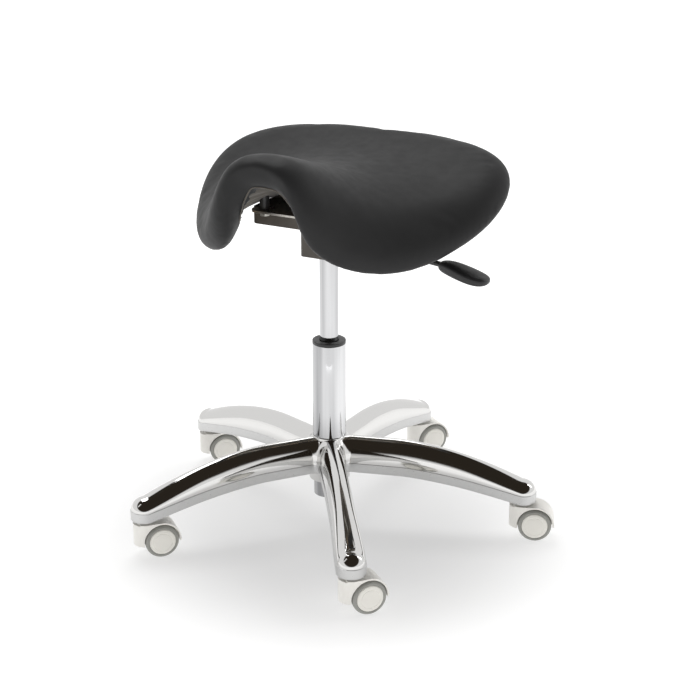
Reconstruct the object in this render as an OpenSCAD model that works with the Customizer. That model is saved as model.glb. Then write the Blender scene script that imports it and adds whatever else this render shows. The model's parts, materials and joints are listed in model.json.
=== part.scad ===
// Saddle-seat stool for a dental surgery: gas-lift column on a five-star base with
// twin-wheel casters. Millimetres, +Z up, origin on the floor under the column's axis.
// The seat's front points to -Y and the height lever to +X.

/* [Base] */
// Radius of the circle that the caster stems stand on
caster_circle_r = 295; // [270:1:320]
// Turn of the star base under the seat, degrees
base_turn = -56.2; // [-72:0.1:72]
// Half width of a leg
leg_half_w = 18; // [16:0.5:20]
// Height of a leg's top next to the hub
leg_top_z = 141; // [136:1:146]
// Height of a leg's lower edge next to the hub
leg_low_z = 89; // [85:1:93]
// Underside of the bosses that hold the caster stems
boss_low_z = 59; // [58:0.5:61]
// Radius of those bosses
boss_r = 20.5; // [19.5:0.5:22]

/* [Casters] */
// Radius of a wheel over its tyre
wheel_r = 25; // [24.5:0.5:25]
// Offset of the axle behind the stem
caster_trail = 20; // [18:0.5:21]
// Turn of each caster about its stem, degrees from the leg's own direction
caster_turns = [105, 6, -36, -117, 176]; // [-180:1:180]

/* [Column] */
// Outer radius of the column tube
column_r = 25; // [25:0.5:26]
// Top of the guide bush
column_top_z = 292.7; // [285:0.1:300]
// Radius of the gas cylinder
cylinder_r = 14; // [13.5:0.1:14.5]
// Height that the gas lift travels
lift_travel = 125; // [110:1:128]

/* [Seat] */
// Height of the middle of the saddle, at half its thickness
saddle_z = 534; // [526:1:542]
// Half length of the saddle from front to rear
saddle_half_l = 208; // [198:1:218]
// Half width of the saddle's cover, measured along its curve
saddle_half_w = 232; // [222:1:242]
// Distance that the middle of the saddle lies behind the column
saddle_back = 4; // [-2:1:12]
// Half thickness of the padding
pad_half_t = 26; // [23:0.5:28]
// Width of the rounded edge, seen from above
pad_edge = 43; // [37:1:47]

/* [Lever] */
// Distance from the column's axis to the lever's tip
lever_tip_x = 253; // [248:1:258]
// Height of the paddle's middle
lever_z = 430; // [426:1:432]

/* [Hidden] */
LEGS = 5;
BASE_NODES = ["star_base", "column_tube", "guide_bush", "caster_sleeves", "bottom_washer",
    "lower_race", "bearing_balls", "rod_buffer"];
ROD_NODES = ["piston_rod", "piston", "retaining_clip", "upper_race"];
LIFT_NODES = ["gas_cylinder", "mechanism_housing", "seat_plate", "seat_spacers", "seat_bolts",
    "seat_shell", "seat_cushion", "lever_pivot", "lever_spring"];
LEVER_NODES = ["valve_pin", "lever_rod", "lever_paddle"];
CASTER_PARTS = ["hood", "stem", "axle", "wheel_left", "wheel_right", "tyre_left", "tyre_right"];
CASTER_NODES = [for (i = [1:LEGS]) for (p = CASTER_PARTS) str("caster", i, "_", p)];

run_gap = 0.05;         // radial clearance of a shaft that turns or slides in its hole
round_fn = 64;

// ---- Base ----
hub_r = 31;
hub_low_z = 45;         // lower end of the column's tube
casting_low_z = 72;
hub_top_z = 142;
taper_low_r = 23.9;     // the column's taper at the bottom of the hub
leg_wall = 5;
flange_h = 14;
leg_root_r = 22;
leg_steps = 14;
sleeve_r = 7;
stem_r = 5.5;
sleeve_l = 24;

// Height of a leg's ridge and of its lower edge at distance r from the axis
function leg_fall(r, start) = max(0, (r - start) / (caster_circle_r - start));
function leg_ridge(r) = leg_top_z - (leg_top_z - boss_low_z - 33) * pow(leg_fall(r, 100), 1.8);
function leg_edge(r) = leg_low_z - (leg_low_z - boss_low_z) * pow(leg_fall(r, 110), 1.5);
// Section of a leg: an upright flange under a rounded back, open underneath
function leg_section(r) = let (b = leg_edge(r), c = b + flange_h, h = leg_ridge(r) - c, w = leg_half_w,
    v = leg_wall,
    dome = [for (a = [0:30:180]) [w * cos(a), c + h * sin(a)]],
    inner = [for (a = [180:-30:0]) [(w - v) * cos(a), c + (h - v) * sin(a)]])
    concat([[w, b]], dome, [[-w, b], [-w + v, b]], inner, [[w - v, b]]);

// Flat ends of a leg are strips between its outer and its inner line
module leg() {
    stations = [for (i = [0:leg_steps]) leg_root_r + (caster_circle_r - 8 - leg_root_r) * i / leg_steps];
    n = len(leg_section(100));
    m = len(stations);
    pts = [for (r = stations) for (p = leg_section(r)) [r, p[0], p[1]]];
    side = [for (i = [0:m - 2]) for (j = [0:n - 1]) let (k = (j + 1) % n, a = i * n, b = a + n)
        each [[a + j, b + k, a + k], [a + j, b + j, b + k]]];
    cap = [for (j = [0:n / 2 - 2]) each [[j, j + 1, n - 2 - j], [j, n - 2 - j, n - 1 - j]]];
    last = (m - 1) * n;
    tail = [for (t = cap) [last + t[0], last + t[2], last + t[1]]];
    polyhedron(pts, concat(side, cap, tail));
}

module leg_boss() {
    rotate_extrude($fn = round_fn) difference() {
        union() {
            translate([0, boss_low_z]) square([boss_r, 24]);
            translate([0, boss_low_z + 24]) scale([1, 9 / boss_r]) intersection() {
                circle(r = boss_r);
                square(boss_r);
            }
        }
        translate([0, boss_low_z - 1]) square([sleeve_r, sleeve_l + 1]);
    }
}

module around_base() {
    for (i = [0:LEGS - 1]) rotate(base_turn + 360 / LEGS * i) children();
}

module star_base() {
    color("silver") difference() {
        union() {
            around_base() leg();
            translate([0, 0, casting_low_z])
                cylinder(r = hub_r, h = hub_top_z - casting_low_z - 3, $fn = round_fn);
            translate([0, 0, hub_top_z - 3]) cylinder(r1 = hub_r, r2 = hub_r - 2.5, h = 3, $fn = round_fn);
            around_base() translate([caster_circle_r, 0, 0]) leg_boss();
        }
        translate([0, 0, hub_low_z]) column_taper();
        around_base() translate([caster_circle_r, 0, boss_low_z - 1])
            cylinder(r = sleeve_r, h = sleeve_l + 1, $fn = round_fn);
    }
}

module column_taper() {
    cylinder(r1 = taper_low_r, r2 = column_r, h = hub_top_z - hub_low_z, $fn = round_fn);
}

module caster_sleeves() {
    color("dimgray") around_base() translate([caster_circle_r, 0, boss_low_z])
        difference() {
            cylinder(r = sleeve_r, h = sleeve_l, $fn = round_fn);
            translate([0, 0, -1]) cylinder(r = stem_r + run_gap, h = sleeve_l + 2, $fn = round_fn);
        }
}

// ---- Column ----
tube_wall = 2;
bush_flange = 4.7;
bush_l = 60;
floor_t = 3;            // closed lower end of the tube
rod_r = 5;
race_t = 2;
race_r = 11;
ball_r = 1.4;
ball_gap = 0.1;

module column_tube() {
    color("gainsboro") difference() {
        union() {
            translate([0, 0, hub_low_z]) column_taper();
            translate([0, 0, hub_top_z])
                cylinder(r = column_r, h = column_top_z - bush_flange - hub_top_z, $fn = round_fn);
        }
        translate([0, 0, hub_low_z + floor_t])
            cylinder(r = column_r - tube_wall - 1.2, h = 120, $fn = round_fn);
        translate([0, 0, hub_top_z]) cylinder(r = column_r - tube_wall, h = 200, $fn = round_fn);
        translate([0, 0, hub_low_z - 1]) cylinder(r = rod_r + 0.5, h = floor_t + 2, $fn = round_fn);
    }
}

module guide_bush() {
    bush_low = column_top_z - bush_l;
    color("#303030") difference() {
        union() {
            translate([0, 0, bush_low]) cylinder(r = column_r - tube_wall, h = bush_l - 1, $fn = round_fn);
            translate([0, 0, column_top_z - bush_flange])
                cylinder(r = column_r, h = bush_flange - 1, $fn = round_fn);
            translate([0, 0, column_top_z - 1])
                cylinder(r1 = column_r, r2 = column_r - 1, h = 1, $fn = round_fn);
        }
        translate([0, 0, bush_low - 1])
            cylinder(r = cylinder_r + run_gap, h = bush_l + 2, $fn = round_fn);
    }
}

// A flat ring standing on height z
module ring(z, r_in, r_out, h) {
    translate([0, 0, z]) difference() {
        cylinder(r = r_out, h = h, $fn = round_fn);
        translate([0, 0, -1]) cylinder(r = r_in, h = h + 2, $fn = round_fn);
    }
}

washer_t = 0.9;
clip_t = 1.5;
clip_z = hub_low_z - washer_t - 0.4 - clip_t;
lower_race_z = hub_low_z + floor_t;
ball_z = lower_race_z + race_t + ball_r;
upper_race_z = ball_z + ball_r + ball_gap;
shoulder_z = upper_race_z + race_t;
buffer_z = shoulder_z + 5.4;

module bottom_washer() {
    color("silver") ring(hub_low_z - washer_t, rod_r + 0.4, 9.5, washer_t);
}

module lower_race() {
    color("gray") ring(lower_race_z, rod_r + 0.4, race_r, race_t);
}

module bearing_balls() {
    color("lightgray") for (a = [0:36:324]) rotate(a)
        translate([8.3, 0, ball_z]) sphere(r = ball_r, $fn = 24);
}

module upper_race() {
    color("gray") ring(upper_race_z, rod_r, race_r, race_t);
}

module rod_buffer() {
    color("#282828") ring(buffer_z, rod_r + 0.6, column_r - tube_wall - 1.2, 12);
}

module retaining_clip() {
    color("#505050") ring(clip_z, rod_r - 1, 8.5, clip_t);
}

cyl_low_z = 233;
gland_l = 13;
piston_z = cyl_low_z + gland_l + 2;
piston_l = 10;

module piston_rod() {
    color("lightgray") difference() {
        union() {
            translate([0, 0, clip_z - 1.5]) cylinder(r = rod_r, h = piston_z - clip_z + 2, $fn = round_fn);
            translate([0, 0, shoulder_z]) cylinder(r = race_r, h = 5, $fn = round_fn);
            translate([0, 0, piston_z]) cylinder(r = rod_r - 1, h = piston_l, $fn = round_fn);
        }
        ring(clip_z, rod_r - 1, rod_r + 1, clip_t);
    }
}

module piston() {
    color("#707070") ring(piston_z + 0.5, rod_r - 1, cylinder_r - 2 - run_gap, piston_l - 1);
}

socket_low_z = 425;     // bottom of the block with the tapered socket
pan_z = 478;            // bottom of the wide pan above it
cyl_top_z = 479;
pin_r = 4;

module gas_cylinder() {
    color("whitesmoke") difference() {
        union() {
            translate([0, 0, cyl_low_z])
                cylinder(r = cylinder_r, h = socket_low_z - cyl_low_z, $fn = round_fn);
            translate([0, 0, socket_low_z])
                cylinder(r1 = cylinder_r, r2 = cylinder_r - 1, h = cyl_top_z - socket_low_z, $fn = round_fn);
        }
        translate([0, 0, cyl_low_z - 1]) cylinder(r = rod_r + run_gap, h = gland_l + 2, $fn = round_fn);
        translate([0, 0, cyl_low_z + gland_l]) cylinder(r = cylinder_r - 2, h = 180, $fn = round_fn);
        translate([0, 0, cyl_top_z - 20]) cylinder(r = pin_r + run_gap, h = 30, $fn = round_fn);
    }
}

// ---- Seat mechanism and lever ----
pan_half_x = 88;
pan_half_y = 70;
block_half_x = 32;
block_half_y = 30;
block_corner = 6;
pocket_z = 468;         // floor of the pocket that the valve pin and the spring stand in
sheet_t = 3;
lug_y = 9;
plate_z = 502;
plate_half_x = 78;
plate_half_y = 96;
bolt_dx = 60;
bolt_dy = 80;
spacer_h = 9;
pivot_x = 60;
pivot_r = 3;
lever_r = 4;
pin_top_z = cyl_top_z + 7;
arm_z = pin_top_z + 0.4 + lever_r;

module rounded_box(half_x, half_y, r, h) {
    linear_extrude(h) offset(r = r, $fn = 32) square([2 * (half_x - r), 2 * (half_y - r)], center = true);
}

// Pressed pan on a cast block; the lever leaves through a slot in the pan's wall
module mechanism_housing() {
    color("#2b2622") difference() {
        union() {
            difference() {
                translate([0, 0, pan_z]) rounded_box(pan_half_x, pan_half_y, 10, plate_z - pan_z);
                translate([0, 0, pan_z + sheet_t])
                    rounded_box(pan_half_x - sheet_t, pan_half_y - sheet_t, 7, 40);
            }
            translate([0, 0, socket_low_z])
                rounded_box(block_half_x, block_half_y, block_corner, pan_z - socket_low_z + 1);
            for (s = [-1, 1]) translate([pivot_x - 7, s * (lug_y + 1.5) - 1.5, pan_z + 1])
                cube([14, 3, arm_z + 5 - pan_z - 1]);
        }
        translate([0, 0, pocket_z])
            rounded_box(block_half_x - 3, block_half_y - 3, 3, pan_z - pocket_z + sheet_t + 1);
        translate([0, 0, socket_low_z])
            cylinder(r1 = cylinder_r, r2 = cylinder_r - 1, h = cyl_top_z - socket_low_z, $fn = round_fn);
        translate([pan_half_x - 6, -9, pan_z + sheet_t]) cube([12, 18, plate_z - pan_z - sheet_t + 1]);
        translate([pivot_x, lug_y + 4, arm_z]) rotate([90, 0, 0])
            cylinder(r = pivot_r, h = 2 * lug_y + 8, $fn = 48);
    }
}

module at_bolts() {
    for (x = [-bolt_dx, bolt_dx]) for (y = [-bolt_dy, bolt_dy]) translate([x, y, 0]) children();
}

module seat_plate() {
    color("gainsboro") difference() {
        translate([0, 0, plate_z]) linear_extrude(sheet_t) difference() {
            offset(r = 14, $fn = 32) square([2 * plate_half_x - 28, 2 * plate_half_y - 28], center = true);
            circle(r = 11, $fn = round_fn);
        }
        at_bolts() translate([0, 0, plate_z - 1]) cylinder(r = 4.3, h = 6, $fn = 32);
    }
}

// ---- Saddle ----
// A point of the saddle's middle surface is given by w, the distance from the ridge along the
// curve, and by e, which runs from -1 at the front to 1 at the rear.
arc_steps = 12;
slope_start = [15.3, -33.1, 17.5];     // slope beside the ridge: level, change with e, with e squared
slope_start_w = 63;
slope_side = [22.7, -23.7, -1];      // further slope where the side turns down
side_at = [190, 88, -17];         // distance from the ridge at which it turns down
side_blend = 86;
ridge = [-28.6, 57.2, 6.2, -9.5];          // rise of the ridge with e, e^2, e^3, e^4
front_power = 3.36;
rear_power = 2.46;
rear_widen = [0.23, 0.02];
front_roll = 8.8;                 // how far the very front of the ridge rolls down
roll_start = 0.55;              // share of the half length at which that begins

function ease(x) = let (t = max(0, min(1, x))) t * t * (3 - 2 * t);
function quad(c, e) = c[0] + c[1] * e + c[2] * e * e;
function slope(w, e) = quad(slope_start, e) * ease(w / slope_start_w)
    + quad(slope_side, e) * ease((w - quad(side_at, e)) / side_blend + 0.5);
function sum(v, i = 0) = i < len(v) - 1 ? v[i] + sum(v, i + 1) : v[i];
function saddle_mid(w, y) = let (e = (y - saddle_back) / saddle_half_l, a = abs(w),
    s = [for (i = [0.5:arc_steps]) slope(a * i / arc_steps, e)])
    [w * sum([for (t = s) cos(t)]) / arc_steps, y,
     saddle_z + ridge[0] * e + ridge[1] * pow(e, 2) + ridge[2] * pow(e, 3) + ridge[3] * pow(e, 4)
     - front_roll * pow(max(0, (-e - roll_start) / (1 - roll_start)), 2)
     - a * sum([for (t = s) sin(t)]) / arc_steps];
function unit(v) = v / norm(v);
// A point at height h above the middle surface
function saddle(w, y, h) = let (d = 1.5,
    across = saddle_mid(w + d, y) - saddle_mid(w - d, y),
    along = saddle_mid(w, y + d) - saddle_mid(w, y - d),
    n = unit(cross(across, along)))
    saddle_mid(w, y) + h * n;
function power(x, n) = sign(x) * pow(abs(x), 2 / n);
// The outline, as [w, y from the saddle's middle] at angle a
function rim(a) = let (e = power(sin(a), sin(a) < 0 ? front_power : rear_power))
    [saddle_half_w * power(cos(a), sin(a) < 0 ? front_power : rear_power)
        * (1 + rear_widen[0] * e + rear_widen[1] * (e * e - 0.5)), saddle_half_l * e];
// A ring of points: inset is the distance in from the outline, h the height
function saddle_ring(inset, h, n) = [for (i = [0:n - 1])
    let (p = rim(360 * i / n), k = max(0.02, 1 - inset / norm(p)))
    saddle(p[0] * k, saddle_back + p[1] * k, h)];
function share_ring(share, inset, h, n) = [for (i = [0:n - 1])
    let (p = rim(360 * i / n), k = (1 - inset / norm(p)) * share)
    saddle(p[0] * k, saddle_back + p[1] * k, h)];

// Rings from the middle of the top, out round the edge and back to the middle of the underside
module closed_skin(rings) {
    n = len(rings[0]);
    m = len(rings);
    mid_top = sum(rings[0]) / n;
    mid_low = sum(rings[m - 1]) / n;
    side = [for (i = [0:m - 2]) for (j = [0:n - 1]) let (k = (j + 1) % n, a = i * n, b = a + n)
        each [[a + j, a + k, b + k], [a + j, b + k, b + j]]];
    top = [for (j = [0:n - 1]) [n * m, (j + 1) % n, j]];
    low = [for (j = [0:n - 1]) [n * m + 1, (m - 1) * n + j, (m - 1) * n + (j + 1) % n]];
    polyhedron(concat([for (r = rings) each r], [mid_top, mid_low]), concat(side, top, low));
}

top_rings = 5;
edge_steps = 4;
cushion_sides = 48;
shell_sides = 40;
shell_inset = 30;       // the shell's edge lies this far in from the cover's edge
shell_t = 7;
recess_h = -3;          // the padding's underside, where it meets the shell
flat_in = shell_inset - 1;

module seat_cushion() {
    n = cushion_sides;
    t = pad_half_t;
    flat_top = [for (i = [1:top_rings]) share_ring(i / top_rings, pad_edge, t, n)];
    edge = [for (i = [1:2 * edge_steps]) let (a = 90 - 90 * i / edge_steps)
        saddle_ring(pad_edge * (1 - cos(a)), t * sin(a), n)];
    recess = [saddle_ring(flat_in - 4, -t, n), saddle_ring(flat_in, -t + 4, n),
        saddle_ring(flat_in, recess_h, n)];
    flat_low = [for (i = [top_rings - 1:-1:1]) share_ring(i / top_rings, flat_in, recess_h, n)];
    color("#333333") closed_skin(concat(flat_top, edge, recess, flat_low));
}

module seat_shell() {
    n = shell_sides;
    upper = [for (i = [1:4]) share_ring(i / 4, shell_inset, recess_h - 0.3, n)];
    lower = [for (i = [4:-1:1]) share_ring(i / 4, shell_inset, recess_h - shell_t, n)];
    color("#5a4636") closed_skin(concat(upper, lower));
}

// Height of the shell's underside above a bolt
function shell_low_z(x, y) = saddle(abs(x), y, recess_h - shell_t)[2];

// The spacers reach up from the plate into the shell and take the bolts' threads. The front ones stop
// lower, because the shell slopes steeply there.
module seat_spacers() {
    color("#3a3a3a") difference() {
        for (x = [-bolt_dx, bolt_dx]) for (y = [-bolt_dy, bolt_dy])
            translate([x, y, plate_z + sheet_t])
                cylinder(r = 7, h = shell_low_z(x, y) + (y < 0 ? -3 : 1) - plate_z - sheet_t, $fn = 48);
        at_bolts() translate([0, 0, plate_z]) cylinder(r = 4, h = spacer_h + 10, $fn = 32);
    }
}

module seat_bolts() {
    color("gray") at_bolts() {
        translate([0, 0, plate_z - 1]) cylinder(r = 4, h = sheet_t + spacer_h, $fn = 32);
        translate([0, 0, plate_z - 1.5]) cylinder(r = 9, h = 1.5, $fn = 32);
        translate([0, 0, plate_z - 6.5]) cylinder(r = 7.5, h = 5, $fn = 6);
    }
}

// ---- Lever ----
module valve_pin() {
    color("gold") {
        translate([0, 0, cyl_top_z - 12]) cylinder(r = pin_r, h = 16, $fn = 48);
        translate([0, 0, cyl_top_z + 3.9]) cylinder(r1 = pin_r, r2 = pin_r - 1, h = 3.1, $fn = 48);
    }
}

bend_x = 96;            // the lever's rod turns down here, clear of the housing
paddle_x = 176;
rod_end_x = 212;

joint_ball = 0.25;      // how much the balls at the rod's bends stand proud of it
rod_knee = [bend_x, 0, arm_z];
rod_low = [bend_x + 34, 0, lever_z + 10];
rod_end = [rod_end_x, 0, lever_z + 1];

module rod_piece(a, b) {
    v = b - a;
    translate(a) rotate([0, acos(v[2] / norm(v)), atan2(v[1], v[0])])
        cylinder(r = lever_r, h = norm(v), $fn = 32);
}

module rod_ball(p) {
    translate(p) sphere(r = lever_r + joint_ball, $fn = 32);
}

module lever_rod() {
    color("#4a4a4a") difference() {
        union() {
            rod_piece([-6, 0, arm_z], rod_knee);
            rod_ball(rod_knee);
            rod_piece(rod_knee, rod_low);
            rod_ball(rod_low);
            rod_piece(rod_low, rod_end);
            translate([pivot_x, 7, arm_z]) rotate([90, 0, 0]) cylinder(r = 7, h = 14, $fn = 48);
        }
        translate([pivot_x, 10, arm_z]) rotate([90, 0, 0])
            cylinder(r = pivot_r + run_gap, h = 20, $fn = 48);
    }
}

// Flat grip that widens towards a round tip; the rod is pressed into its bore
module lever_paddle() {
    tip_r = 17;
    color("#222222") difference() {
        hull() {
            translate([paddle_x, 0, lever_z + 5]) rotate([0, 90, 0]) cylinder(r = 8, h = 4, $fn = 24);
            translate([paddle_x + 38, 0, lever_z]) scale([1.4, 1, 0.55]) sphere(r = 15, $fn = 24);
            translate([lever_tip_x - tip_r, 0, lever_z - 3]) scale([1, 1, 0.42])
                sphere(r = tip_r, $fn = 24);
        }
        rod_piece(rod_low, rod_end);
    }
}

module lever_pivot() {
    half = lug_y + 3;
    color("silver") translate([pivot_x, half + 2, arm_z]) rotate([90, 0, 0]) {
        cylinder(r = pivot_r, h = 2 * half + 4, $fn = 48);
        cylinder(r = pivot_r + 2, h = 2, $fn = 48);
        translate([0, 0, 2 * half + 2]) cylinder(r = pivot_r + 2, h = 2, $fn = 48);
    }
}

spring_x = 23;
spring_r = 3.4;
spring_wire = 0.6;
spring_turns = 5;
spring_low = pocket_z + 0.1 + spring_wire;
spring_high = arm_z - lever_r - 0.4 - spring_wire;

module lever_spring() {
    per_turn = 12;
    steps = spring_turns * per_turn;
    rise = (spring_high - spring_low) / steps;
    rings = [for (i = [0:steps]) let (a = 360 * i / per_turn, z = spring_low + rise * i)
        [for (j = [0:5]) let (r = spring_r + spring_wire * cos(60 * j))
            [spring_x + r * cos(a), r * sin(a), z + spring_wire * sin(60 * j)]]];
    color("silver") spring_wire_body(rings);
}

module spring_wire_body(rings) {
    n = len(rings[0]);
    m = len(rings);
    side = [for (i = [0:m - 2]) for (j = [0:n - 1]) let (k = (j + 1) % n, a = i * n, b = a + n)
        each [[a + j, b + k, a + k], [a + j, b + j, b + k]]];
    first = [for (j = [1:n - 2]) [0, j, j + 1]];
    last = [for (j = [1:n - 2]) [(m - 1) * n, (m - 1) * n + j + 1, (m - 1) * n + j]];
    polyhedron([for (r = rings) each r], concat(side, first, last));
}

// ---- Casters ----
// A caster is drawn with its stem on Z and its axle behind it at +X
hood_top = 54;
hood_low = 19;
hood_r = 18.5;
web_half = 7.2;
well_gap = 1.6;
wheel_in = 8.4;
wheel_out = 22.5;
tyre_in = 9.4;
tyre_out = 20.6;
hub_wheel_r = 19.5;
axle_r = 3;
axle_half = 19;

module place_caster(i) {
    a = base_turn + 360 / LEGS * (i - 1);
    translate([caster_circle_r * cos(a), caster_circle_r * sin(a), 0])
        rotate(a + caster_turns[i - 1]) children();
}

module on_axle() {
    translate([caster_trail, 0, wheel_r]) rotate([90, 0, 0]) children();
}

module hood(i) {
    fender_r = hood_top - wheel_r;
    color("linen") place_caster(i) difference() {
        intersection() {
            linear_extrude(hood_top + 1) union() {
                circle(r = hood_r, $fn = round_fn);
                translate([0, -hood_r]) square([caster_trail + fender_r + 1, 2 * hood_r]);
            }
            translate([0, hood_r + 1, 0]) rotate([90, 0, 0]) linear_extrude(2 * hood_r + 2) union() {
                translate([-hood_r - 1, hood_low]) square([hood_r + 8, hood_top - hood_low - 1.5]);
                translate([caster_trail, wheel_r]) difference() {
                    circle(r = fender_r, $fn = round_fn);
                    translate([-40, -80]) square([80, 78]);
                }
                translate([-11, hood_top - 8]) square([caster_trail + 11, 8]);
                translate([caster_trail, wheel_r]) circle(r = 11, $fn = round_fn);
            }
        }
        for (s = [-1, 1]) translate([0, s * (web_half + 20), 0]) on_axle()
            cylinder(r = wheel_r + well_gap, h = 40, center = true, $fn = round_fn);
        translate([0, 0, hood_low - 1]) cylinder(r = stem_r, h = 60, $fn = round_fn);
        on_axle() cylinder(r = axle_r, h = 60, center = true, $fn = 48);
    }
}

module stem(i) {
    stem_low = 30;
    color("lightgray") place_caster(i) {
        translate([0, 0, stem_low]) cylinder(r = stem_r, h = boss_low_z + 21 - stem_low, $fn = round_fn);
        translate([0, 0, boss_low_z + 21]) cylinder(r1 = stem_r, r2 = stem_r - 2, h = 2, $fn = round_fn);
        translate([0, 0, hood_top]) cylinder(r = 8.5, h = boss_low_z - hood_top - 1.2, $fn = round_fn);
    }
}

module axle(i) {
    color("lightgray") place_caster(i) on_axle()
        cylinder(r = axle_r, h = 2 * axle_half, center = true, $fn = 48);
}

// side is 1 for the wheel on the left and -1 for the one on the right
module wheel(i, side) {
    color("whitesmoke") place_caster(i) on_axle() mirror([0, 0, side > 0 ? 1 : 0]) difference() {
        rotate_extrude($fn = round_fn) polygon([[0, wheel_in], [8, wheel_in], [8, tyre_in + 1],
            [hub_wheel_r, tyre_in + 1], [hub_wheel_r, wheel_out - 2.5], [hub_wheel_r - 1, wheel_out - 1.2],
            [14, wheel_out - 0.4], [7, wheel_out], [0, wheel_out]]);
        translate([0, 0, wheel_in - 1])
            cylinder(r = axle_r + run_gap, h = axle_half + 1.5 - wheel_in, $fn = 48);
    }
}

module tyre(i, side) {
    shoulder = 2.6;
    color("#8f8f8a") place_caster(i) on_axle() mirror([0, 0, side > 0 ? 1 : 0])
        rotate_extrude($fn = round_fn) difference() {
            translate([hub_wheel_r, tyre_in]) square([wheel_r - hub_wheel_r, tyre_out - tyre_in]);
            for (s = [0, 1]) translate([wheel_r, s > 0 ? tyre_out : tyre_in]) difference() {
                square(2 * shoulder, center = true);
                translate([-shoulder, s > 0 ? -shoulder : shoulder]) circle(r = shoulder, $fn = 32);
            }
        }
}

module caster_part(i, part) {
    if (part == "hood") hood(i);
    if (part == "stem") stem(i);
    if (part == "axle") axle(i);
    if (part == "wheel_left") wheel(i, 1);
    if (part == "wheel_right") wheel(i, -1);
    if (part == "tyre_left") tyre(i, 1);
    if (part == "tyre_right") tyre(i, -1);
}

star_base();
column_tube();
guide_bush();
caster_sleeves();
bottom_washer();
lower_race();
bearing_balls();
rod_buffer();
piston_rod();
piston();
retaining_clip();
upper_race();
gas_cylinder();
mechanism_housing();
seat_plate();
seat_spacers();
seat_bolts();
seat_shell();
seat_cushion();
lever_pivot();
lever_spring();
valve_pin();
lever_rod();
lever_paddle();
for (i = [1:LEGS]) for (part = CASTER_PARTS)
    caster_part(i, part);
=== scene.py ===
"""Saddle-seat stool: the padding, polished castings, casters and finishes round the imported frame.

Lengths are in metres. The seat's front points to -Y and the height lever to +X.
"""
import json
import math

import bmesh
import bpy
from mathutils import Matrix, Vector


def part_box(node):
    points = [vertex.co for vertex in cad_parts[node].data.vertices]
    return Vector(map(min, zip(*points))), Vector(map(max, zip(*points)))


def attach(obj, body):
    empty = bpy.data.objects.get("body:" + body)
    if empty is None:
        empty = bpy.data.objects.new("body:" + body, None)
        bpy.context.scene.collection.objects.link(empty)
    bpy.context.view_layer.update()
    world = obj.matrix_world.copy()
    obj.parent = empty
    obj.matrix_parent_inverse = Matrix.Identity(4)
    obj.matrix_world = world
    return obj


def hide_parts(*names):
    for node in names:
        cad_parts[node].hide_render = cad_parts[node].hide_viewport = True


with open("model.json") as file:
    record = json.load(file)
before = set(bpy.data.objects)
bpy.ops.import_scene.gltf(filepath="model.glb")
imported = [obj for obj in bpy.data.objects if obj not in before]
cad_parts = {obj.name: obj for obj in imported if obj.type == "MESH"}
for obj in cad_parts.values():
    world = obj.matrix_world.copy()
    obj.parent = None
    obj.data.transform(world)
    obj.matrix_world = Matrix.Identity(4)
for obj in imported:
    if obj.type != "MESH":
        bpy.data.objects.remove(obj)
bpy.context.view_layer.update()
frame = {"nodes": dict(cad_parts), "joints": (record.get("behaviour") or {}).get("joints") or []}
nodes = frame["nodes"]
joints = {j["name"]: j for j in frame["joints"]}
MM = 0.001

# ---------------------------------------------------------------- dimensions
SEAT_AZIMUTH = math.radians(27.5)       # the seat is seen this far round from its front

SADDLE_Z = 0.534                        # height of the saddle's ridge at its middle
SADDLE_HALF_L = 0.208
SADDLE_HALF_W = 0.232
SADDLE_BACK = 0.004                     # the saddle's middle lies this far behind the column
PAD_HALF_T = 0.026
PAD_EDGE = 0.043                        # width of the pad's rounded edge
SHELL_INSET = 0.030                     # the shell's edge lies this far in from the cover's
SHELL_T = 0.007
RECESS_H = -0.003                       # the pad's underside, from its middle surface
HEM_INSET = SHELL_INSET - 3 * MM
HEM_H = 3.5 * MM - PAD_HALF_T

# Slope in degrees beside the ridge, further slope where the side turns down, and where that is
# in metres from the ridge: level, change with e and with e squared, as e runs from -1 to 1
SLOPE_START = (15.3, -33.1, 17.5)
SLOPE_START_W = 0.063
SLOPE_SIDE = (22.7, -23.7, -1)
SIDE_AT = (0.19, 0.088, -0.017)
SIDE_BLEND = 0.086
RIDGE = (-0.0286, 0.0572, 0.0062, -0.0095)
FRONT_POWER = 3.36
REAR_POWER = 2.46
REAR_WIDEN = (0.23, 0.02)
FRONT_ROLL = 0.0088
ROLL_START = 0.55

DARK_TILT = math.radians(31)            # the dark part of the studio is centred this far off overhead
GLOW_AT = (0.15, 0.6)                   # the floor's glow grows between these distances; the weaker glow inside is a painted shadow
FLOOR_GLOW_AND_PAINTED_SHADOW = (0.50, 1.00)               # near the stool, lowered there as a painted shadow, and away from it
CAMERA_LENS = 87.24
CAMERA_PITCH = math.radians(20.1)
CAMERA_AT = (0.0251, -2.342, 1.139)     # to its right, away from it and up

LEGS = 5
BASE_TURN = math.radians(-56.2)
CASTER_CIRCLE_R = 0.295
LEG_HALF_W = 0.018
LEG_TOP_Z = 0.141
LEG_LOW_Z = 0.089
LEG_WALL = 0.005
FLANGE_H = 0.014
FILLET_R = 0.010                        # plan radius between two legs
FILLET_Y = LEG_HALF_W + FILLET_R
FILLET_X = FILLET_Y / math.tan(math.pi / LEGS)
VALLEY_X = FILLET_X - FILLET_R * math.cos(math.pi / LEGS)
EDGE_U = 0.8                            # share of the sheet across a leg that is its polished back
BOSS_LOW_Z = 0.059
BOSS_R = 0.0205
HUB_R = 0.031
HUB_LOW_Z = 0.045
HUB_TOP_Z = 0.142
HUB_TAPER_Z = 0.120                     # the hub narrows above this height
HUB_LIP_R = 0.0268
TAPER_LOW_R = 0.0239                    # the column's lower end
CASTING_LOW_Z = 0.072                   # lower end of the casting round the column
COLUMN_R = 0.025
COLUMN_TOP_Z = 0.2927
TUBE_WALL = 0.002
BUSH_LIP = 0.0047
BUSH_LENGTH = 0.060
ROD_HOLE_R = 0.0055
CYLINDER_R = 0.014
CYLINDER_TAPER_Z = 0.425
SLEEVE_R = 0.007
CASTER_TRAIL = 0.020
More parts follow.
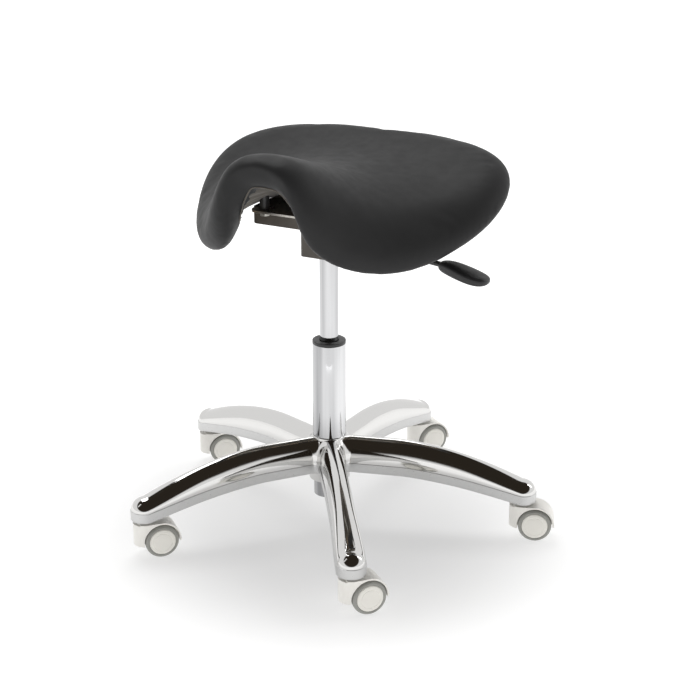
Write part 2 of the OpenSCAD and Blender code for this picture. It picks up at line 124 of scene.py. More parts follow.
WHEEL_R = 0.025


# ---------------------------------------------------------------- saddle surface
def ease(x):
    t = max(0.0, min(1.0, x))
    return t * t * (3 - 2 * t)


def quad(c, e):
    return c[0] + c[1] * e + c[2] * e * e


def slope(w, e):
    """Downward slope of the saddle in radians, w metres from its ridge."""
    start = quad(SLOPE_START, e) * ease(w / SLOPE_START_W)
    side = quad(SLOPE_SIDE, e) * ease((w - quad(SIDE_AT, e)) / SIDE_BLEND + 0.5)
    return math.radians(start + side)


def saddle_mid(w, y, steps=12):
    e = (y - SADDLE_BACK) / SADDLE_HALF_L
    slopes = [slope(abs(w) * (i + 0.5) / steps, e) for i in range(steps)]
    x = w * sum(math.cos(t) for t in slopes) / steps
    drop = abs(w) * sum(math.sin(t) for t in slopes) / steps
    rise = sum(c * e ** (k + 1) for k, c in enumerate(RIDGE))
    rise -= FRONT_ROLL * max(0.0, (-e - ROLL_START) / (1 - ROLL_START)) ** 2
    return Vector((x, y, SADDLE_Z + rise - drop))


def saddle(w, y, h):
    """The point h above the middle surface, along its normal."""
    d = 1.5 * MM
    across = saddle_mid(w + d, y) - saddle_mid(w - d, y)
    along = saddle_mid(w, y + d) - saddle_mid(w, y - d)
    return saddle_mid(w, y) + across.cross(along).normalized() * h


def rim(angle):
    """The cover's outline as distances from the saddle's middle: round the curve and along Y."""
    c, s = math.cos(angle), math.sin(angle)
    n = FRONT_POWER if s < 0 else REAR_POWER
    e = math.copysign(abs(s) ** (2 / n), s)
    side = math.copysign(abs(c) ** (2 / n), c)
    widen = 1 + REAR_WIDEN[0] * e + REAR_WIDEN[1] * (e * e - 0.5)
    return SADDLE_HALF_W * side * widen, SADDLE_HALF_L * e


def saddle_at(angle, inset, h, share=1.0):
    w, y = rim(angle)
    k = (1 - inset / math.hypot(w, y)) * share
    return saddle(w * k, SADDLE_BACK + y * k, h)


# ---------------------------------------------------------------- materials
def new_material(name, colour, rough, metal=0.0, **sockets):
    """A material, its node tree and its shader; sockets are set by name, with _ for a space."""
    mat = bpy.data.materials.new(name)
    mat.use_nodes = True
    shader = mat.node_tree.nodes["Principled BSDF"]
    shader.inputs["Base Color"].default_value = (*colour, 1)
    shader.inputs["Roughness"].default_value = rough
    shader.inputs["Metallic"].default_value = metal
    for key, value in sockets.items():
        shader.inputs[key.replace("_", " ")].default_value = value
    return mat, mat.node_tree, shader


def noise(tree, scale, detail=4.0, rough=0.5):
    coord = tree.nodes.new("ShaderNodeTexCoord")
    tex = tree.nodes.new("ShaderNodeTexNoise")
    tex.inputs["Scale"].default_value = scale
    tex.inputs["Detail"].default_value = detail
    tex.inputs["Roughness"].default_value = rough
    tree.links.new(coord.outputs["Object"], tex.inputs["Vector"])
    return tex.outputs["Fac"]


def vary(tree, source, socket, low, high):
    """Drives a shader socket from a 0 to 1 pattern, between two numbers."""
    span = tree.nodes.new("ShaderNodeMapRange")
    span.inputs["From Min"].default_value = 0.3
    span.inputs["From Max"].default_value = 0.7
    span.inputs["To Min"].default_value = low
    span.inputs["To Max"].default_value = high
    tree.links.new(source, span.inputs["Value"])
    tree.links.new(span.outputs["Result"], socket)


def tint(tree, source, socket, dark, light):
    """Drives a colour socket from a 0 to 1 pattern, between two colours."""
    ramp = tree.nodes.new("ShaderNodeValToRGB")
    ramp.color_ramp.elements[0].position = 0.3
    ramp.color_ramp.elements[0].color = (*dark, 1)
    ramp.color_ramp.elements[1].position = 0.7
    ramp.color_ramp.elements[1].color = (*light, 1)
    tree.links.new(source, ramp.inputs["Fac"])
    tree.links.new(ramp.outputs["Color"], socket)


def bump(tree, shader, source, strength, distance, after=None):
    node = tree.nodes.new("ShaderNodeBump")
    node.inputs["Strength"].default_value = strength
    node.inputs["Distance"].default_value = distance
    tree.links.new(source, node.inputs["Height"])
    if after:
        tree.links.new(after.outputs["Normal"], node.inputs["Normal"])
    tree.links.new(node.outputs["Normal"], shader.inputs["Normal"])
    return node


def leatherette():
    mat, tree, shader = new_material("black_leatherette", (0.016, 0.016, 0.0165), 0.50,
                                     Specular_IOR_Level=0.10)
    coord = tree.nodes.new("ShaderNodeTexCoord")
    pores = tree.nodes.new("ShaderNodeTexVoronoi")
    pores.inputs["Scale"].default_value = 900
    tree.links.new(coord.outputs["Object"], pores.inputs["Vector"])
    grain = bump(tree, shader, pores.outputs["Distance"], 0.10, 0.15 * MM)
    bump(tree, shader, noise(tree, 22, 2), 0.06, 1.0 * MM, grain)
    tint(tree, noise(tree, 9, 3), shader.inputs["Base Color"], (0.025, 0.025, 0.0255), (0.029, 0.029, 0.0295))
    vary(tree, noise(tree, 60, 5), shader.inputs["Roughness"], 0.46, 0.55)
    return mat


def lining_cloth():
    mat, tree, shader = new_material("brown_lining", (0.03, 0.024, 0.018), 0.7, Sheen_Weight=0.3)
    coord = tree.nodes.new("ShaderNodeTexCoord")
    weave = tree.nodes.new("ShaderNodeTexVoronoi")
    weave.inputs["Scale"].default_value = 1400
    tree.links.new(coord.outputs["Object"], weave.inputs["Vector"])
    bump(tree, shader, weave.outputs["Distance"], 0.3, 0.2 * MM)
    tint(tree, noise(tree, 14, 4), shader.inputs["Base Color"], (0.05, 0.042, 0.032), (0.10, 0.085, 0.065))
    return mat


def plated(name, colour, low, high, scale=35.0):
    """Bright metal with faint smears that change its gloss."""
    mat, tree, shader = new_material(name, colour, low, 1.0)
    vary(tree, noise(tree, scale, 6, 0.6), shader.inputs["Roughness"], low, high)
    return mat, tree, shader


def chrome_with_painted_reflections():
    """Chrome on drawn tube, with faint light and dark streaks along its length painted into its colour as
    painted reflections.
    """
    mat, tree, shader = plated("chrome_plate_painted_reflections", (0.47, 0.472, 0.48), 0.03, 0.07)
    streaks = noise(tree, 55, 2)
    coord = tree.nodes.new("ShaderNodeTexCoord")
    stretch = tree.nodes.new("ShaderNodeVectorMath")
    stretch.operation = "MULTIPLY"
    stretch.inputs[1].default_value = (1, 1, 0.02)
    tree.links.new(coord.outputs["Object"], stretch.inputs[0])
    tree.links.new(stretch.outputs["Vector"], streaks.node.inputs["Vector"])
    # The streaks tint the base colour between dark and light: painted reflections of the studio, not marks on
    # the metal.
    tint(tree, streaks, shader.inputs["Base Color"], (0.30, 0.302, 0.31), (0.66, 0.662, 0.67))
    return mat


def polished_casting():
    mat, tree, shader = plated("polished_casting", (0.65, 0.645, 0.635), 0.05, 0.10)
    bump(tree, shader, noise(tree, 28, 2), 0.05, 1.2 * MM)
    return mat


def satin_casting():
    mat, tree, shader = plated("satin_casting", (0.58, 0.58, 0.575), 0.26, 0.36, 300)
    bump(tree, shader, noise(tree, 900, 3), 0.08, 0.15 * MM)
    return mat


def moulded(name, dark, light, rough, grain, strength=0.05):
    """Moulded plastic: a fine spark-eroded grain and a slight shift of colour."""
    mat, tree, shader = new_material(name, light, rough)
    bump(tree, shader, noise(tree, grain, 3), strength, 0.12 * MM)
    tint(tree, noise(tree, 30, 3), shader.inputs["Base Color"], dark, light)
    vary(tree, noise(tree, 110, 5), shader.inputs["Roughness"], rough - 0.05, rough + 0.06)
    return mat


def plywood():
    mat, tree, shader = new_material("beech_plywood", (0.45, 0.32, 0.2), 0.6)
    coord = tree.nodes.new("ShaderNodeTexCoord")
    stretch = tree.nodes.new("ShaderNodeMapping")
    stretch.inputs["Scale"].default_value = (1.0, 0.12, 6.0)
    wave = tree.nodes.new("ShaderNodeTexNoise")
    wave.inputs["Scale"].default_value = 160
    tree.links.new(coord.outputs["Object"], stretch.inputs["Vector"])
    tree.links.new(stretch.outputs["Vector"], wave.inputs["Vector"])
    tint(tree, wave.outputs["Fac"], shader.inputs["Base Color"], (0.34, 0.22, 0.12), (0.55, 0.41, 0.26))
    bump(tree, shader, wave.outputs["Fac"], 0.1, 0.2 * MM)
    return mat


LEATHER = leatherette()
LINING = lining_cloth()
POLISHED = polished_casting()
SATIN = satin_casting()
CHROME = chrome_with_painted_reflections()
STEEL = plated("ground_steel", (0.56, 0.56, 0.55), 0.22, 0.34, 240)[0]
ZINC = plated("zinc_plate", (0.62, 0.61, 0.56), 0.28, 0.42, 90)[0]
PLATE = plated("bare_plate", (0.52, 0.50, 0.46), 0.25, 0.4, 120)[0]
BRASS = plated("turned_brass", (0.72, 0.55, 0.25), 0.18, 0.3, 200)[0]
BRACKET = moulded("brown_black_coat", (0.045, 0.037, 0.029), (0.070, 0.060, 0.048), 0.45, 700, 0.12)
BUSH = moulded("black_acetal", (0.018, 0.018, 0.019), (0.028, 0.028, 0.029), 0.38, 900)
LEVER = moulded("black_grip", (0.010, 0.010, 0.011), (0.018, 0.018, 0.019), 0.46, 1300, 0.12)
ROD_COAT = moulded("black_enamel", (0.012, 0.012, 0.012), (0.02, 0.02, 0.02), 0.3, 400)
NYLON_GREY = moulded("grey_nylon", (0.28, 0.28, 0.28), (0.36, 0.36, 0.36), 0.5, 700)
NYLON_WHITE = moulded("white_nylon", (0.93, 0.91, 0.86), (0.97, 0.955, 0.905), 0.34, 800)
DISC_WHITE = moulded("white_disc", (0.92, 0.90, 0.835), (0.96, 0.94, 0.88), 0.36, 800)
TYRE = moulded("grey_tyre", (0.31, 0.31, 0.285), (0.37, 0.37, 0.345), 0.55, 600, 0.1)
RUBBER = moulded("black_rubber", (0.015, 0.015, 0.015), (0.025, 0.025, 0.025), 0.7, 500, 0.15)
BEECH = plywood()

CAD_FINISH = {
    "bottom_washer": ZINC, "lower_race": STEEL, "bearing_balls": STEEL, "rod_buffer": RUBBER,
    "piston_rod": STEEL, "piston": STEEL, "retaining_clip": STEEL, "upper_race": STEEL,
    "seat_spacers": BUSH, "seat_bolts": ZINC, "seat_shell": BEECH, "lever_pivot": ZINC,
    "lever_spring": STEEL, "valve_pin": BRASS, "lever_rod": ROD_COAT, "caster_sleeves": NYLON_GREY,
}


def dress_cad_nodes():
    for name, node in nodes.items():
        finish = CAD_FINISH.get(name) or (ZINC if name.endswith(("_stem", "_axle")) else NYLON_WHITE)
        for slot in node.material_slots:
            slot.link = "OBJECT"
            slot.material = finish


# ---------------------------------------------------------------- making pieces
def add_piece(name, bm, finish, body, slot, *replaced, smooth=40.0):
    """Turns a bmesh into a piece that rides on a body and stands for CAD nodes."""
    mesh = bpy.data.meshes.new(name)
    bm.to_mesh(mesh)
    bm.free()
    for mat in finish if isinstance(finish, (list, tuple)) else [finish]:
        mesh.materials.append(mat)
    for face in mesh.polygons:
        face.use_smooth = True
    if smooth < 180:
        mesh.set_sharp_from_angle(angle=math.radians(smooth))
    piece = bpy.data.objects.new(name, mesh)
    bpy.context.scene.collection.objects.link(piece)
    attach(piece, body)
    if replaced:
        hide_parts(*replaced)
    return piece


def subdivide(piece, levels):
    mod = piece.modifiers.new("smooth", "SUBSURF")
    mod.levels = mod.render_levels = levels


def soften(piece, width, segments=2, angle=38):
    mod = piece.modifiers.new("edges", "BEVEL")
    mod.width = width
    mod.segments = segments
    mod.limit_method = "ANGLE"
    mod.angle_limit = math.radians(angle)
    mod.harden_normals = False


def rounded(profile, radius, steps=4):
    """The same outline with each inner corner turned into a small arc."""
    out = [profile[0]]
    for a, b, c in zip(profile, profile[1:], profile[2:]):
        a, b, c = Vector(a), Vector(b), Vector(c)
        r = min(radius, (a - b).length * 0.45, (c - b).length * 0.45)
        start, end = b + (a - b).normalized() * r, b + (c - b).normalized() * r
        for i in range(steps + 1):
            t = i / steps
            out.append(tuple(start * (1 - t) ** 2 + b * 2 * t * (1 - t) + end * t * t))
    out.append(profile[-1])
    return out


def lathe(profile, place=Matrix.Identity(4), steps=96):
    """Spins an outline of (radius, height) points round Z, then puts it in its place."""
    bm = bmesh.new()
    verts = [bm.verts.new((r, 0, z)) for r, z in profile]
    edges = [bm.edges.new(pair) for pair in zip(verts, verts[1:])]
    bmesh.ops.spin(bm, geom=verts + edges, axis=(0, 0, 1), cent=(0, 0, 0), dvec=(0, 0, 0),
                   angle=math.tau, steps=steps, use_merge=True)
    bmesh.ops.remove_doubles(bm, verts=bm.verts, dist=1e-6)
    bmesh.ops.recalc_face_normals(bm, faces=bm.faces)
    bmesh.ops.transform(bm, matrix=place, verts=bm.verts)
    return bm


def cad_copy(name):
    """A CAD node's mesh with its loose triangles joined and its flat faces made whole."""
    bm = bmesh.new()
    bm.from_mesh(nodes[name].data)
    bmesh.ops.remove_doubles(bm, verts=bm.verts, dist=5e-6)
    bmesh.ops.dissolve_limit(bm, angle_limit=math.radians(1.0), verts=bm.verts, edges=bm.edges)
    return bm


# ---------------------------------------------------------------- seat
def saddle_body(height, edge, low_inset, low_h, columns, rows):
    """A closed padded form: a ball whose meridians run over the top, round the edge and under."""
    bm = bmesh.new()
    bmesh.ops.create_uvsphere(bm, u_segments=columns, v_segments=rows, radius=1)
    for v in bm.verts:
        angle = math.atan2(v.co.y, v.co.x)
        t = math.acos(max(-1, min(1, v.co.z))) / math.pi
        if t < 0.42:
            place = saddle_at(angle, edge, height, t / 0.42)
        elif t < 0.60:
            a = math.radians(90 - 180 * (t - 0.42) / 0.18)
            place = saddle_at(angle, edge * (1 - math.cos(a)), height * math.sin(a))
        elif t < 0.64:
            k = (t - 0.60) / 0.04
            place = saddle_at(angle, edge + (low_inset - edge) * min(1, 2 * k),
                              -height + (height + low_h) * max(0, 2 * k - 1))
        else:
            place = saddle_at(angle, low_inset, low_h, (1 - t) / 0.36)
        v.co = place
    return bm


def relax(piece, rounds):
    """Evens out the cover's skin."""
    bm = bmesh.new()
    bm.from_mesh(piece.data)
    for _ in range(rounds):
        bmesh.ops.smooth_vert(bm, verts=bm.verts, factor=0.5,
                              use_axis_x=True, use_axis_y=True, use_axis_z=True)
    bm.to_mesh(piece.data)
    bm.free()


def inflate(piece, voxel, cap, pressure=4.0, frames=20):
    """Blows the cover up over its foam as cloth, and limits how far any point moves."""
    bpy.context.view_layer.objects.active = piece
    piece.select_set(True)
    piece.data.remesh_voxel_size = voxel
    bpy.ops.object.voxel_remesh()
    relax(piece, 6)
    start = [v.co.copy() for v in piece.data.vertices]
    cloth = piece.modifiers.new("cover", "CLOTH")
    cloth.settings.use_pressure = True
    cloth.settings.uniform_pressure_force = pressure
    cloth.settings.effector_weights.gravity = 0
    cloth.settings.tension_stiffness = 40
    cloth.settings.bending_stiffness = 4
    scene = bpy.context.scene
    for step in range(1, frames + 1):
        scene.frame_set(step)
    blown = piece.evaluated_get(bpy.context.evaluated_depsgraph_get()).to_mesh()
    moved = []
    for was, v in zip(start, blown.vertices):
        shift = v.co - was
        if shift.length > cap:
            shift *= cap / shift.length
        moved.append(was + shift)
    piece.modifiers.remove(cloth)
    scene.frame_set(1)
    for v, co in zip(piece.data.vertices, moved):
        v.co = co
    relax(piece, 4)
    for face in piece.data.polygons:
        face.use_smooth = True


def make_cushion():
    bm = saddle_body(PAD_HALF_T - 1.5 * MM, PAD_EDGE, SHELL_INSET - 1 * MM, RECESS_H, 144, 100)
    cushion = add_piece("saddle_cushion", bm, LEATHER, "lift", "seat_cover", "seat_cushion", smooth=180)
    inflate(cushion, 4.5 * MM, 3 * MM)
    subdivide(cushion, 1)


def make_lining():
    """Thin cloth under the shell, gathered into pleats towards its edge."""
    bm = bmesh.new()
    bmesh.ops.create_circle(bm, cap_ends=True, cap_tris=False, segments=240, radius=1)
    rim_face = bm.faces[:]
    for _ in range(14):
        bmesh.ops.inset_region(bm, faces=rim_face, thickness=0.066, use_boundary=True)
    for v in bm.verts:
        angle, share = math.atan2(v.co.y, v.co.x), min(1.0, v.co.to_2d().length)
        pleat = 1.6 * MM * math.sin(44 * angle + 2.2 * math.sin(5 * angle)) * ease((share - 0.55) / 0.35)
        edge_lift = 9 * MM * ease((share - 0.9) / 0.1)
        v.co = saddle_at(angle, SHELL_INSET + 1 * MM, RECESS_H - SHELL_T - 3 * MM + pleat + edge_lift, share)
    bmesh.ops.recalc_face_normals(bm, faces=bm.faces)
    bmesh.ops.solidify(bm, geom=bm.faces[:], thickness=0.6 * MM)
    add_piece("underside_lining", bm, LINING, "lift", "seat_cover", smooth=180)


def make_hem():
    """The cover's turned edge: a thin cord along the lip of the underside."""
    data = bpy.data.curves.new("cover_hem", "CURVE")
    data.dimensions = "3D"
    data.bevel_depth = 1.1 * MM
    data.bevel_resolution = 3
    line = data.splines.new("POLY")
    count = 240
    line.points.add(count - 1)
    for i, point in enumerate(line.points):
        place = saddle_at(math.tau * i / count, HEM_INSET, HEM_H)
        point.co = (*place, 1)
    line.use_cyclic_u = True
    curve = bpy.data.objects.new("cover_hem_line", data)
    bpy.context.scene.collection.objects.link(curve)
    bm = bmesh.new()
    bm.from_mesh(bpy.data.meshes.new_from_object(curve))
    bpy.data.objects.remove(curve)
    add_piece("cover_hem", bm, LINING, "lift", "seat_cover", smooth=180)


# ---------------------------------------------------------------- star base
def leg_fall(r, start):
    return max(0.0, (r - start) / (CASTER_CIRCLE_R - start))


def leg_ridge(r):
    return LEG_TOP_Z - (LEG_TOP_Z - BOSS_LOW_Z - 0.033) * leg_fall(r, 0.100) ** 1.8


def leg_edge(r):
    return LEG_LOW_Z - (LEG_LOW_Z - BOSS_LOW_Z) * leg_fall(r, 0.110) ** 1.5


def leg_half_width(x):
    return LEG_HALF_W + (BOSS_R - LEG_HALF_W) * ease((x - 0.190) / 0.090)


def leg_crease(x):
    """Height of the crease between the satin flange and the polished back of a leg."""
    return leg_edge(x) + FLANGE_H


def edge_distance(x, y):
    """How far a point lies inside the casting's plan: round the stem, the leg, or the fillet."""
    if x > CASTER_CIRCLE_R:
        return BOSS_R - math.hypot(x - CASTER_CIRCLE_R, y)
    if x < FILLET_X:
        return math.hypot(x - FILLET_X, abs(y) - FILLET_Y) - FILLET_R
    return leg_half_width(x) - abs(y)


def casting_top(x, y):
    low = leg_crease(min(x, CASTER_CIRCLE_R))
    rise = leg_ridge(min(x, CASTER_CIRCLE_R)) - low
    share = max(0.0, min(1.0, edge_distance(x, y) / leg_half_width(x)))
    return low + rise * math.sqrt(1 - (1 - share) ** 2)


def side_of_leg(x):
    """Half width of the plan at x, with the fillet to the next leg and the round end."""
    if x > CASTER_CIRCLE_R:
        return math.sqrt(max(0.0, BOSS_R ** 2 - (x - CASTER_CIRCLE_R) ** 2))
    if x < FILLET_X:
        return FILLET_Y - math.sqrt(FILLET_R ** 2 - (FILLET_X - x) ** 2)
    return leg_half_width(x)


def leg_stations():
    """Distances along a leg: the fillet, the leg itself and its round end."""
    fillet = [VALLEY_X + (FILLET_X - VALLEY_X) * i / 6 for i in range(6)]
    length = CASTER_CIRCLE_R - FILLET_X
    middle = [FILLET_X + length * i / 40 for i in range(40)]
    end = [CASTER_CIRCLE_R + BOSS_R * math.sin(math.radians(a)) for a in range(0, 91, 6)]
    return fillet + middle + end


def place_on_leg(u, station, hub_step):
    """Maps a flat sheet's point to the casting: u runs across, beyond EDGE_U down the flange."""
    across = max(-1.0, min(1.0, u / EDGE_U))
    x = station
    y = side_of_leg(x) * math.sin(across * math.pi / 2)
    if hub_step < 1:
        turn = math.pi / LEGS * y / side_of_leg(VALLEY_X)
        x += (COLUMN_R * math.cos(turn) - x) * (1 - hub_step)
        y += (COLUMN_R * math.sin(turn) - y) * (1 - hub_step)
    if abs(u) <= EDGE_U + 1e-6:
        return x, y, casting_top(x, y)
    down = (abs(u) - EDGE_U) / (1 - EDGE_U)
    x, y = station, side_of_leg(station)
    low, crease = leg_edge(min(x, CASTER_CIRCLE_R)), leg_crease(min(x, CASTER_CIRCLE_R))
    proud = 0.8 * MM
    if x > CASTER_CIRCLE_R:
        grow = (BOSS_R + proud) / BOSS_R
        x, y = CASTER_CIRCLE_R + (x - CASTER_CIRCLE_R) * grow, y * grow
    else:
        y += proud * ease((x - VALLEY_X) / FILLET_R)
    z = crease - 0.4 * MM + (low - crease) * max(0.0, (down - 0.25) / 0.75)
    return x, math.copysign(y, u), z


def make_star_base():
    """Five arched legs that flow into each other round the column, each with a satin flange."""
    hub_steps = 5
    stations = [VALLEY_X] * hub_steps + leg_stations()
    across = 40
    whole = bmesh.new()
    for index in range(LEGS):
        bm = bmesh.new()
        bmesh.ops.create_grid(bm, x_segments=across, y_segments=len(stations) - 1, size=1)
        for f in bm.faces:
            f.material_index = 1 if abs(f.calc_center_median().x) > EDGE_U else 0
        for v in bm.verts:
            row = round((v.co.y + 1) / 2 * (len(stations) - 1))
            v.co = place_on_leg(v.co.x, stations[row], min(1.0, row / hub_steps))
        turn = Matrix.Rotation(BASE_TURN + math.tau * index / LEGS, 4, "Z")
        bmesh.ops.transform(bm, matrix=turn, verts=bm.verts)
        part = bpy.data.meshes.new("leg_sheet")
        bm.to_mesh(part)
        bm.free()
        whole.from_mesh(part)
        bpy.data.meshes.remove(part)
    bmesh.ops.remove_doubles(whole, verts=whole.verts, dist=2e-5)
    bmesh.ops.dissolve_degenerate(whole, edges=whole.edges, dist=1e-6)
    bmesh.ops.recalc_face_normals(whole, faces=whole.faces)
    if sum(f.normal.z * f.calc_area() for f in whole.faces) < 0:
        bmesh.ops.reverse_faces(whole, faces=whole.faces)
    star = add_piece("star_casting", whole, (POLISHED, SATIN), "base", "polished_base", "star_base",
                     smooth=45)
    wall = star.modifiers.new("wall", "SOLIDIFY")
    wall.thickness = LEG_WALL
    wall.offset = -1
    soften(star, 0.7 * MM, 3, 40)


def make_hub():
    bore = COLUMN_R + 0.15 * MM
    lip_z = HUB_TOP_Z - 4 * MM
    hub = rounded([(TAPER_LOW_R, CASTING_LOW_Z), (HUB_R, CASTING_LOW_Z), (HUB_R, HUB_TAPER_Z),
                   (HUB_LIP_R, lip_z), (HUB_LIP_R, HUB_TOP_Z), (bore, HUB_TOP_Z)], 0.8 * MM)
    bm = lathe(hub + [(bore, lip_z), (TAPER_LOW_R, CASTING_LOW_Z)])
    add_piece("base_hub", bm, POLISHED, "base", "polished_base", "star_base")


def make_boss(index):
    """The solid foot inside a leg's round end, round the sleeve for the caster's stem."""
    turn = Matrix.Rotation(BASE_TURN + math.tau * index / LEGS, 4, "Z")
    place = turn @ Matrix.Translation((CASTER_CIRCLE_R, 0, 0))
    top = BOSS_LOW_Z + 24 * MM
    foot_r = BOSS_R - 1 * MM
    foot = rounded([(SLEEVE_R, BOSS_LOW_Z), (foot_r, BOSS_LOW_Z), (foot_r, BOSS_LOW_Z + 8 * MM),
                    (12 * MM, top)], 0.8 * MM)
    bm = lathe(foot + [(0, top), (SLEEVE_R, top - 0.5 * MM), (SLEEVE_R, BOSS_LOW_Z)], place)
    add_piece(f"base_boss_{index + 1}", bm, SATIN, "base", "polished_base", "star_base")


# ---------------------------------------------------------------- column and mechanism
def make_column():
    inner = COLUMN_R - TUBE_WALL
    low_inner = inner - 1.2 * MM
    floor_z = HUB_LOW_Z + 3 * MM
    top = COLUMN_TOP_Z - BUSH_LIP
    tube = [(ROD_HOLE_R, HUB_LOW_Z), (TAPER_LOW_R, HUB_LOW_Z), (COLUMN_R, HUB_TOP_Z), (COLUMN_R, top),
            (inner, top), (inner, HUB_TOP_Z), (low_inner, HUB_TOP_Z - 1 * MM),
            (low_inner, floor_z), (ROD_HOLE_R, floor_z), (ROD_HOLE_R, HUB_LOW_Z)]
    add_piece("column_sleeve", lathe(rounded(tube, 0.4 * MM, 2)), CHROME, "base", "chromed_tube",
              "column_tube")
    bore = CYLINDER_R + 0.05 * MM
    low = COLUMN_TOP_Z - BUSH_LENGTH
    lip = rounded([(bore, low), (inner, low), (inner, top), (COLUMN_R, top),
                   (COLUMN_R, COLUMN_TOP_Z), (bore + 1.2 * MM, COLUMN_TOP_Z), (bore, COLUMN_TOP_Z - 1.2 * MM),
                   (bore, low)], 0.8 * MM, 3)
    add_piece("bush_ring", lathe(lip), BUSH, "base", "black_bush", "guide_bush")


def make_cylinder():
    low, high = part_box("gas_cylinder")
    inner = CYLINDER_R - 2 * MM
    rod_hole, pin_hole = 5.05 * MM, 4.05 * MM
    gland_z = low[2] + 13 * MM
    skin = [(rod_hole, low[2]), (CYLINDER_R, low[2]), (CYLINDER_R, CYLINDER_TAPER_Z),
            (CYLINDER_R - 1 * MM, high[2]), (pin_hole, high[2]), (pin_hole, high[2] - 20 * MM),
            (inner, high[2] - 22 * MM), (inner, gland_z), (rod_hole, gland_z), (rod_hole, low[2])]
    add_piece("gas_spring_body", lathe(rounded(skin, 0.5 * MM, 2)), CHROME, "lift", "chromed_tube",
              "gas_cylinder")


def make_mechanism():
    pan = add_piece("mechanism_pan", cad_copy("mechanism_housing"), BRACKET, "lift", "dark_bracket",
                    "mechanism_housing")
    soften(pan, 0.8 * MM)
    plate = add_piece("mounting_plate", cad_copy("seat_plate"), PLATE, "lift", "plate_steel", "seat_plate")
    soften(plate, 0.5 * MM)


def make_paddle():
    """A full rounded grip that widens and droops towards its tip."""
    low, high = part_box("lever_paddle")
    droop = 13 * MM
    bm = bmesh.new()
    bmesh.ops.create_uvsphere(bm, u_segments=48, v_segments=32, radius=1)
    length = high[0] - low[0]
    half_w = (high[1] - low[1]) / 2
    for v in bm.verts:
        along, across, up = (math.copysign(abs(c) ** 0.72, c) for c in v.co)
        t = (along + 1) / 2
        half_h = (10.5 - 1.5 * ease(t)) * MM
        v.co = (low[0] + length * t, across * half_w * (0.75 + 0.40 * ease(t * 1.6)),
                high[2] - 10 * MM - droop * ease(t) + up * half_h)
    paddle = add_piece("lever_grip", bm, LEVER, "lever", "lever_black", "lever_paddle", smooth=180)
    subdivide(paddle, 1)


# ---------------------------------------------------------------- casters
def caster_place(name):
    """Puts a drawn caster (stem on Z, axle behind it on +X) in its place on the base."""
    pin = Vector(joints[f"{name}_swivel"]["pos_m"])
    hub = Vector(joints[f"{name}_left_spin"]["pos_m"])
    back = hub - pin
    turn = Matrix.Rotation(math.atan2(back.y, back.x), 4, "Z")
    return Matrix.Translation((pin.x, pin.y, 0)) @ turn


def axle_place(name):
    hub = Matrix.Translation((CASTER_TRAIL, 0, WHEEL_R))
    return caster_place(name) @ hub @ Matrix.Rotation(math.pi / 2, 4, "X")


# Half outlines as (radius, distance from the caster's middle plane) in millimetres
WHEEL_DISC = [(0, 8.4), (8, 8.4), (8, 10.4), (19.5, 10.4), (19.5, 20.2), (18.6, 21.3), (14.5, 22.0),
              (13.8, 21.5), (13.0, 22.1), (6.0, 22.5), (0, 22.5)]
TYRE_RING = [(19.5, 9.4), (22.4, 9.4), (25, 12.0), (25, 18.0), (22.6, 20.6), (19.5, 20.6), (19.5, 9.4)]


def make_wheel(name, side, sign):
    place = axle_place(name) @ Matrix.Diagonal((1, 1, sign, 1))
    disc = rounded([(r * MM, z * MM) for r, z in WHEEL_DISC], 0.8 * MM, 3)
    ring = rounded([(r * MM, z * MM) for r, z in TYRE_RING], 2.2 * MM, 4)
    body = f"{name}_{side}"
    for label, outline, finish, slot, node in (("disc", disc, DISC_WHITE, "wheel_white", "wheel"),
                                               ("tread", ring, TYRE, "tyre_grey", "tyre")):
        bm = lathe(outline, place, 72)
        bmesh.ops.recalc_face_normals(bm, faces=bm.faces)
        add_piece(f"{name}_{side}_{label}", bm, finish, body, slot, f"{name}_{node}_{side}")


def make_caster(name):
    hood = add_piece(f"{name}_cover", cad_copy(f"{name}_hood"), NYLON_WHITE, name, "caster_white",
                     f"{name}_hood")
    soften(hood, 1.4 * MM, 3)
    make_wheel(name, "left", -1)
    make_wheel(name, "right", 1)


# ---------------------------------------------------------------- floor, light and camera
def make_floor():
    """White sweep that glows a little more away from the stool, so that it stays plain white; the weaker glow
    near the stool is a painted shadow.
    """
    bm = bmesh.new()
    bmesh.ops.create_circle(bm, cap_ends=True, segments=96, radius=14)
    mesh = bpy.data.meshes.new("studio_floor")
    bm.to_mesh(mesh)
    bm.free()
    mat, tree, shader = new_material("white_floor", (0.42, 0.42, 0.42), 0.9)
    coord = tree.nodes.new("ShaderNodeTexCoord")
    far = tree.nodes.new("ShaderNodeVectorMath")
    far.operation = "LENGTH"
    tree.links.new(coord.outputs["Object"], far.inputs[0])
    glow = tree.nodes.new("ShaderNodeMapRange")
    glow.interpolation_type = "SMOOTHSTEP"
    limits = (("From Min", GLOW_AT[0]), ("From Max", GLOW_AT[1]),
              ("To Min", FLOOR_GLOW_AND_PAINTED_SHADOW[0]), ("To Max", FLOOR_GLOW_AND_PAINTED_SHADOW[1]))
    for socket, value in limits:
        glow.inputs[socket].default_value = value
    tree.links.new(far.outputs["Value"], glow.inputs["Value"])
    # Emission strength follows the distance from the stool: lower near it as a painted shadow.
    tree.links.new(glow.outputs["Result"], shader.inputs["Emission Strength"])
    shader.inputs["Emission Color"].default_value = (1, 1, 1, 1)
    shader.inputs["Specular IOR Level"].default_value = 0
    mesh.materials.append(mat)
    floor = bpy.data.objects.new("studio_floor", mesh)
    bpy.context.scene.collection.objects.link(floor)


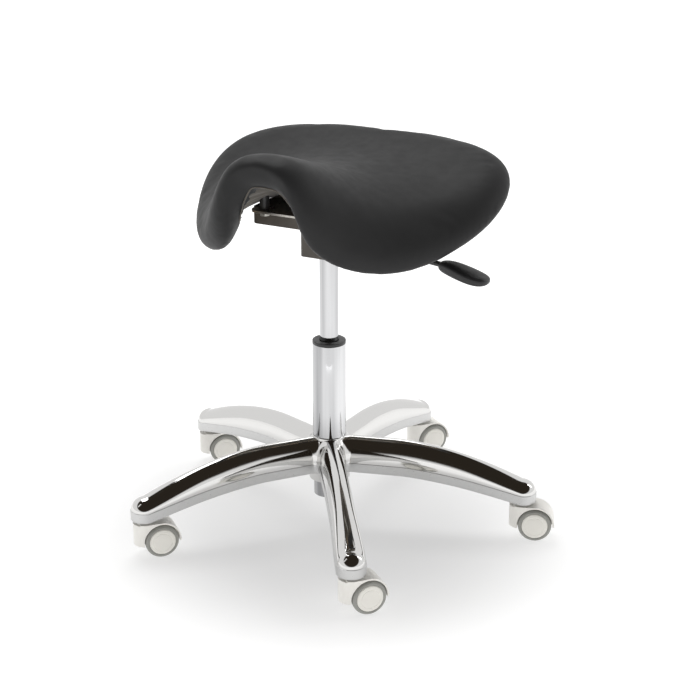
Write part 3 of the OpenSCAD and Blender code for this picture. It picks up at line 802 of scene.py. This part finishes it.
def make_world():
    """A white sweep behind the stool, and a dark room above and behind the camera."""
    world = bpy.data.worlds.new("studio")
    bpy.context.scene.world = world
    world.use_nodes = True
    tree = world.node_tree
    coord = tree.nodes.new("ShaderNodeTexCoord")
    toward = tree.nodes.new("ShaderNodeVectorMath")
    toward.operation = "DOT_PRODUCT"
    toward.inputs[1].default_value = to_row(0.0, -math.sin(DARK_TILT), math.cos(DARK_TILT))
    ramp = tree.nodes.new("ShaderNodeValToRGB")
    ramp.color_ramp.elements[0].position = 0.51
    ramp.color_ramp.elements[0].color = (1.0, 1.0, 1.0, 1)
    ramp.color_ramp.elements[1].position = 0.59
    ramp.color_ramp.elements[1].color = (0.030, 0.024, 0.018, 1)
    tree.links.new(coord.outputs["Generated"], toward.inputs[0])
    tree.links.new(toward.outputs["Value"], ramp.inputs["Fac"])
    tree.links.new(ramp.outputs["Color"], tree.nodes["Background"].inputs["Color"])


def to_row(right, away, up):
    """A point given to the camera's right and away from it, in the stool's own frame."""
    c, s = math.cos(SEAT_AZIMUTH), math.sin(SEAT_AZIMUTH)
    return Vector((right * c - away * s, right * s + away * c, up))


def add_light(name, right, away, up, aim, width, depth, watts):
    data = bpy.data.lights.new(name, "AREA")
    data.shape = "RECTANGLE"
    data.size = width
    data.size_y = depth
    data.energy = watts
    lamp = bpy.data.objects.new(name, data)
    lamp.location = to_row(right, away, up)
    lamp.rotation_euler = (to_row(*aim) - lamp.location).to_track_quat("-Z", "Y").to_euler()
    bpy.context.scene.collection.objects.link(lamp)
    return lamp


def make_lights():
    seat = (0, 0, 0.45)
    add_light("overhead_softbox", -0.3, 0.9, 2.4, seat, 1.6, 1.1, 24)
    add_light("left_strip", -1.7, -0.9, 1.9, seat, 0.35, 1.3, 1.5)
    fill = add_light("front_fill", 0.0, -2.4, 0.25, (0, 0, 0.06), 1.6, 0.4, 8)
    fill.visible_glossy = False
    add_light("right_strip", 1.9, 0.3, 1.5, seat, 0.4, 1.4, 5)


def make_camera():
    data = bpy.data.cameras.new("camera")
    data.sensor_width = 36
    data.lens = CAMERA_LENS
    camera = bpy.data.objects.new("camera", data)
    bpy.context.scene.collection.objects.link(camera)
    camera.location = to_row(*CAMERA_AT)
    camera.rotation_euler = (math.radians(90) - CAMERA_PITCH, 0, SEAT_AZIMUTH)
    bpy.context.scene.camera = camera


dress_cad_nodes()
make_camera()
make_world()
make_floor()
make_lights()
make_cushion()
make_lining()
make_hem()
make_star_base()
for leg_index in range(LEGS):
    make_boss(leg_index)
    make_caster(f"caster{leg_index + 1}")
make_hub()
make_column()
make_cylinder()
make_mechanism()
make_paddle()
bpy.context.scene.view_settings.view_transform = "Standard"
